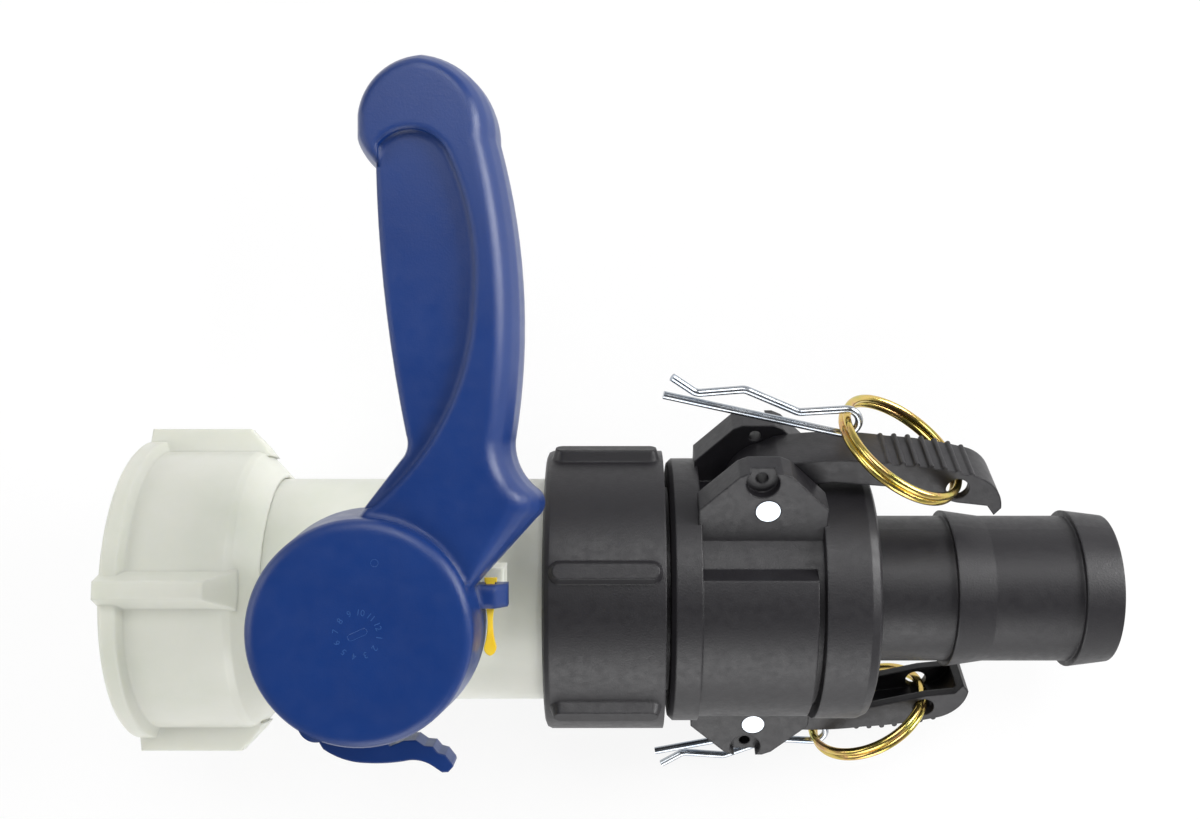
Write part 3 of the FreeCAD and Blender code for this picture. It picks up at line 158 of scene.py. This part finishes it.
# ---------------------------------------------------------------- materials


def blue_moulding(name, edge):
    """Royal blue polypropylene: fine spark-eroded grain, a little gloss variation, soft edges."""
    material, tree, shader = new_material(name)
    tree.links.new(
        ramp(
            tree,
            noise(tree, 40, 3),
            [(0.3, (0.0035, 0.026, 0.140)), (0.7, (0.0045, 0.031, 0.160))],
        ),
        shader.inputs["Base Color"],
    )
    tree.links.new(spread(tree, noise(tree, 240, 3), 0.30, 0.38), shader.inputs["Roughness"])
    shader.inputs["Specular IOR Level"].default_value = 0.5
    grain(
        tree,
        shader,
        [(noise(tree, 2200, 2), 0.30, 0.00006), (noise(tree, 700, 3), 0.15, 0.00008)],
        edge,
    )
    return material


def black_moulding():
    """Black glass-filled polypropylene: satin, with fine flow grain and slightly greyer patches."""
    material, tree, shader = new_material("black_moulding")
    broad = noise(tree, 25, 3, 0.5, (1.0, 1.6, 1.6))
    tree.links.new(
        ramp(
            tree,
            broad,
            [
                (0.3, (0.0105, 0.0095, 0.0120)),
                (0.55, (0.0125, 0.0115, 0.0140)),
                (0.8, (0.0160, 0.0150, 0.0175)),
            ],
        ),
        shader.inputs["Base Color"],
    )
    tree.links.new(spread(tree, noise(tree, 500, 3), 0.42, 0.52), shader.inputs["Roughness"])
    shader.inputs["Specular IOR Level"].default_value = 0.5
    grain(
        tree,
        shader,
        [(noise(tree, 1900, 2), 0.45, 0.00009), (noise(tree, 500, 3), 0.15, 0.00010)],
        0.0007,
    )
    return material


def white_moulding():
    """Natural polyethylene: off-white, lets light in, softly mottled."""
    material, tree, shader = new_material("white_moulding")
    cloud = noise(tree, 30, 5, 0.6)
    tree.links.new(
        ramp(tree, cloud, [(0.3, (0.61, 0.63, 0.55)), (0.5, (0.65, 0.66, 0.59)), (0.75, (0.69, 0.69, 0.63))]),
        shader.inputs["Base Color"],
    )
    tree.links.new(spread(tree, noise(tree, 160, 3), 0.28, 0.42), shader.inputs["Roughness"])
    shader.inputs["Specular IOR Level"].default_value = 0.4
    shader.inputs["Subsurface Weight"].default_value = 0.45
    shader.inputs["Subsurface Radius"].default_value = (1.0, 0.95, 0.8)
    shader.inputs["Subsurface Scale"].default_value = 0.004
    grain(tree, shader, [(noise(tree, 900, 2), 0.18, 0.00008), (noise(tree, 90, 4), 0.25, 0.0003)], 0.0010)
    return material


def grey_moulding():
    """Grey glass-filled nylon of the stem and its bush."""
    material, tree, shader = new_material("grey_moulding")
    tree.links.new(
        ramp(tree, noise(tree, 200, 4), [(0.3, (0.20, 0.21, 0.22)), (0.7, (0.26, 0.27, 0.28))]),
        shader.inputs["Base Color"],
    )
    tree.links.new(spread(tree, noise(tree, 500, 2), 0.4, 0.55), shader.inputs["Roughness"])
    grain(tree, shader, [(noise(tree, 1500, 2), 0.3, 0.0001)], 0.0004)
    return material


def rubber():
    """Soft black rubber with a dusty sheen."""
    material, tree, shader = new_material("rubber")
    tree.links.new(
        ramp(tree, noise(tree, 260, 4), [(0.3, (0.010, 0.010, 0.010)), (0.75, (0.020, 0.020, 0.021))]),
        shader.inputs["Base Color"],
    )
    tree.links.new(spread(tree, noise(tree, 700, 2), 0.6, 0.8), shader.inputs["Roughness"])
    grain(tree, shader, [(noise(tree, 1800, 2), 0.3, 0.0001)], 0.0003)
    return material


def yellow_strap():
    """Bright yellow polyethylene strap with a faint translucence."""
    material, tree, shader = new_material("yellow_strap")
    tree.links.new(
        ramp(tree, noise(tree, 220, 3), [(0.3, (0.80, 0.52, 0.02)), (0.75, (0.92, 0.66, 0.06))]),
        shader.inputs["Base Color"],
    )
    tree.links.new(spread(tree, noise(tree, 500, 2), 0.28, 0.4), shader.inputs["Roughness"])
    shader.inputs["Subsurface Weight"].default_value = 0.2
    shader.inputs["Subsurface Radius"].default_value = (1.0, 0.6, 0.1)
    shader.inputs["Subsurface Scale"].default_value = 0.001
    grain(tree, shader, [(noise(tree, 1200, 2), 0.25, 0.00006)], 0.0003)
    return material


def steel():
    """Bright zinc plate on drawn wire: cool grey, with faint blue passivation."""
    material, tree, shader = new_material("steel")
    shader.inputs["Metallic"].default_value = 1.0
    tree.links.new(
        ramp(
            tree,
            noise(tree, 140, 3),
            [(0.3, (0.34, 0.39, 0.46)), (0.55, (0.44, 0.47, 0.51)), (0.8, (0.52, 0.53, 0.54))],
        ),
        shader.inputs["Base Color"],
    )
    tree.links.new(spread(tree, noise(tree, 300, 2), 0.20, 0.30), shader.inputs["Roughness"])
    grain(tree, shader, [(noise(tree, 700, 2), 0.06, 0.00004)])
    return material


def yellow_zinc():
    """Yellow chromate on zinc: golden, with green and rose patches."""
    material, tree, shader = new_material("yellow_zinc")
    shader.inputs["Metallic"].default_value = 1.0
    tree.links.new(
        ramp(
            tree,
            noise(tree, 200, 3, 0.6),
            [
                (0.28, (0.42, 0.44, 0.14)),
                (0.42, (0.62, 0.50, 0.13)),
                (0.56, (0.70, 0.50, 0.16)),
                (0.68, (0.58, 0.34, 0.16)),
                (0.8, (0.66, 0.58, 0.26)),
            ],
        ),
        shader.inputs["Base Color"],
    )
    tree.links.new(spread(tree, noise(tree, 400, 2), 0.16, 0.26), shader.inputs["Roughness"])
    grain(tree, shader, [(noise(tree, 900, 2), 0.08, 0.00004)])
    return material


def moulded_mark_highlight(name, colour, rough):
    """The lighter tone of a fine moulded line: a painted highlight standing in for the light its thin relief
    catches.
    """
    material, tree, shader = new_material(name)
    low = tuple(c * 0.8 for c in colour)
    tree.links.new(ramp(tree, noise(tree, 800, 3), [(0.3, low), (0.7, colour)]), shader.inputs["Base Color"])
    tree.links.new(spread(tree, noise(tree, 600, 2), rough, rough + 0.12), shader.inputs["Roughness"])
    grain(tree, shader, [(noise(tree, 1500, 2), 0.3, 0.00004)])
    return material


BLUE = blue_moulding("blue_moulding", 0.0022)
BLUE_LEVER = blue_moulding("blue_lever", 0.0006)
BLACK = black_moulding()
WHITE = white_moulding()
GREY = grey_moulding()
RUBBER = rubber()
YELLOW = yellow_strap()
STEEL = steel()
ZINC = yellow_zinc()
# Dial lines and digits in a lighter blue than the handle: painted highlight for the light caught by their
# relief
BLUE_MARK_HIGHLIGHT = moulded_mark_highlight("blue_mark_painted_highlight", (0.020, 0.075, 0.26), 0.35)

FINISH = {
    "white_moulding": WHITE,
    "blue_moulding": BLUE,
    "black_moulding": BLACK,
    "grey_moulding": GREY,
    "rubber": RUBBER,
    "yellow_strap": YELLOW,
    "steel": STEEL,
    "yellow_zinc": ZINC,
}

for row in frame["record"]["subparts"]:
    mesh = nodes[row["node"]].data
    mesh.materials.clear()
    mesh.materials.append(FINISH[row["material_slot"]])
nodes["lock_lever"].data.materials[0] = BLUE_LEVER


# ---------------------------------------------------------------- mesh helpers


def piece(name, mesh_builder, material, body, smooth=True):
    """A mesh object made with bmesh that rides on a body."""
    mesh = bpy.data.meshes.new(name)
    work = bmesh.new()
    mesh_builder(work)
    bmesh.ops.recalc_face_normals(work, faces=work.faces)
    work.to_mesh(mesh)
    work.free()
    for face in mesh.polygons:
        face.use_smooth = smooth
    mesh.materials.append(material)
    thing = bpy.data.objects.new(name, mesh)
    bpy.context.scene.collection.objects.link(thing)
    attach(thing, body)
    return thing


def tube(work, spots, radius, sides=10, closed=False):
    """A round bar along points, with capped ends or joined to itself."""
    rings = []
    count = len(spots)
    side = None
    for n, spot in enumerate(spots):
        before = spots[n - 1] if closed or n else spots[0]
        after = spots[(n + 1) % count] if closed or n < count - 1 else spots[-1]
        along = (after - before).normalized()
        if side is None:
            side = along.orthogonal().normalized()
        side = (side - along * side.dot(along)).normalized()
        up = along.cross(side)
        ring = []
        for k in range(sides):
            bend = 2 * math.pi * k / sides
            ring.append(work.verts.new(spot + (side * math.cos(bend) + up * math.sin(bend)) * radius))
        rings.append(ring)
    for n in range(count if closed else count - 1):
        low, high = rings[n], rings[(n + 1) % count]
        for k in range(sides):
            work.faces.new((low[k], low[(k + 1) % sides], high[(k + 1) % sides], high[k]))
    if not closed:
        work.faces.new(rings[0])
        work.faces.new(rings[-1])


# ---------------------------------------------------------------- hub dial

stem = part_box("stem")
stem_x = (stem[0].x + stem[1].x) / 2
hub_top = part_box("handle")[1].z


def digits(work, text, size, centre, turn, top):
    """Thin raised digits, flat on the hub's face."""
    curve = bpy.data.curves.new("digit", "FONT")
    curve.body = text
    curve.size = size
    curve.align_x = "CENTER"
    curve.align_y = "CENTER"
    curve.extrude = DIGIT_DEPTH
    holder = bpy.data.objects.new("digit", curve)
    bpy.context.scene.collection.objects.link(holder)
    bpy.context.view_layer.update()
    mesh = bpy.data.meshes.new_from_object(holder.evaluated_get(bpy.context.evaluated_depsgraph_get()))
    mesh.transform(Matrix.Translation((*centre, top)) @ Matrix.Rotation(turn, 4, "Z"))
    work.from_mesh(mesh)
    bpy.data.meshes.remove(mesh)
    bpy.data.objects.remove(holder)
    bpy.data.curves.remove(curve)


def dial(work):
    """Month dial of the mould: numbers 1 to 12 round an oval slot, and a round gate mark."""
    for number in range(12):
        bend = math.radians(DIAL_FIRST - DIAL_STEP * number)
        centre = (stem_x + DIAL_RADIUS * math.cos(bend), DIAL_RADIUS * math.sin(bend))
        digits(work, str(number + 1), DIGIT_SIZE, centre, bend - math.pi / 2, hub_top)
    slot = []
    for k in range(32):
        bend = 2 * math.pi * k / 32
        end = math.copysign(SLOT_REACH, math.cos(bend))
        slot.append(Vector((end + SLOT_ROUND * math.cos(bend), SLOT_ROUND * math.sin(bend), 0)))
    hub = Vector((stem_x, 0, hub_top - LINE_SINK))
    turn = Matrix.Rotation(math.radians(SLOT_TURN), 4, "Z")
    tube(work, [hub + turn @ spot for spot in slot], LINE_RADIUS, 6, True)
    gate = []
    for k in range(16):
        bend = 2 * math.pi * k / 16
        x = GATE_PLACE[0] + GATE_RADIUS * math.cos(bend)
        y = GATE_PLACE[1] + GATE_RADIUS * math.sin(bend)
        gate.append(hub + Vector((x, y, 0)))
    tube(work, gate, LINE_RADIUS, 6, True)


piece("hub_dial", dial, BLUE_MARK_HIGHLIGHT, "handle", smooth=False)


# ---------------------------------------------------------------- camera, lights, floor

camera_data = bpy.data.cameras.new("camera")
camera_data.lens = 41.4
camera_data.sensor_width = 36.0
camera_data.shift_x = -0.0083
camera_data.clip_start = 0.01
camera_data.clip_end = 10.0
camera = bpy.data.objects.new("camera", camera_data)
camera.location = (0.1226, 0.0475, 0.368)
bpy.context.scene.collection.objects.link(camera)
bpy.context.scene.camera = camera


def soft_box(name, place, aim, size, watts):
    """A square area light at a place, turned to a point."""
    data = bpy.data.lights.new(name, "AREA")
    data.shape = "SQUARE"
    data.size = size
    data.energy = watts
    lamp = bpy.data.objects.new(name, data)
    lamp.location = place
    lamp.rotation_mode = "QUATERNION"
    lamp.rotation_quaternion = (Vector(aim) - Vector(place)).to_track_quat("-Z", "Y")
    bpy.context.scene.collection.objects.link(lamp)


middle = (0.125, 0.03, 0.0)
soft_box("key", (0.95, 0.35, 0.45), middle, 0.5, 9.0)
soft_box("top", (0.15, 0.65, 1.0), middle, 0.6, 6.0)
soft_box("fill", (-0.75, 0.1, 0.55), middle, 0.6, 3.5)
soft_box("front", (0.2, -0.9, 0.45), middle, 0.7, 6.0)

world = bpy.data.worlds.new("studio")
bpy.context.scene.world = world
world.use_nodes = True
tree = world.node_tree
backdrop = tree.nodes["Background"]
backdrop.inputs["Color"].default_value = (1, 1, 1, 1)
around = tree.nodes.new("ShaderNodeTexCoord")
parts = tree.nodes.new("ShaderNodeSeparateXYZ")
fade = tree.nodes.new("ShaderNodeMapRange")
fade.inputs["From Min"].default_value = 0.0
fade.inputs["From Max"].default_value = 0.9
fade.inputs["To Min"].default_value = 0.50
fade.inputs["To Max"].default_value = 0.10
tree.links.new(around.outputs["Generated"], parts.inputs["Vector"])
tree.links.new(parts.outputs["Z"], fade.inputs["Value"])
tree.links.new(fade.outputs["Result"], backdrop.inputs["Strength"])


def floor():
    """A wide pale floor just under the object."""
    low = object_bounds()[0].z - FLOOR_GAP
    mesh = bpy.data.meshes.new("floor")
    corners = [
        (-FLOOR_HALF, -FLOOR_HALF, low),
        (FLOOR_HALF, -FLOOR_HALF, low),
        (FLOOR_HALF, FLOOR_HALF, low),
        (-FLOOR_HALF, FLOOR_HALF, low),
    ]
    mesh.from_pydata(corners, [], [(0, 1, 2, 3)])
    thing = bpy.data.objects.new("floor", mesh)
    bpy.context.scene.collection.objects.link(thing)
    material, tree, shader = new_material("floor")
    shader.inputs["Base Color"].default_value = (0.9, 0.9, 0.9, 1)
    shader.inputs["Roughness"].default_value = 0.9
    glow = add(tree, "ShaderNodeEmission")
    glow.inputs["Strength"].default_value = 1.0
    path = add(tree, "ShaderNodeLightPath")
    seen = None
    for ray in ("Is Camera Ray", "Is Glossy Ray", "Is Transmission Ray"):
        if seen:
            either = add(tree, "ShaderNodeMath", operation="MAXIMUM")
            tree.links.new(seen, either.inputs[0])
            tree.links.new(path.outputs[ray], either.inputs[1])
            seen = either.outputs["Value"]
        else:
            seen = path.outputs[ray]
    share = add(tree, "ShaderNodeMath", operation="MULTIPLY")
    share.inputs[1].default_value = FLOOR_GLOW
    blend = add(tree, "ShaderNodeMixShader")
    tree.links.new(seen, share.inputs[0])
    tree.links.new(share.outputs["Value"], blend.inputs["Fac"])
    tree.links.new(shader.outputs["BSDF"], blend.inputs[1])
    tree.links.new(glow.outputs["Emission"], blend.inputs[2])
    tree.links.new(blend.outputs["Shader"], tree.nodes["Material Output"].inputs["Surface"])
    mesh.materials.append(material)
    thing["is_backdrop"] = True


floor()
bpy.context.scene.view_settings.view_transform = "Standard"
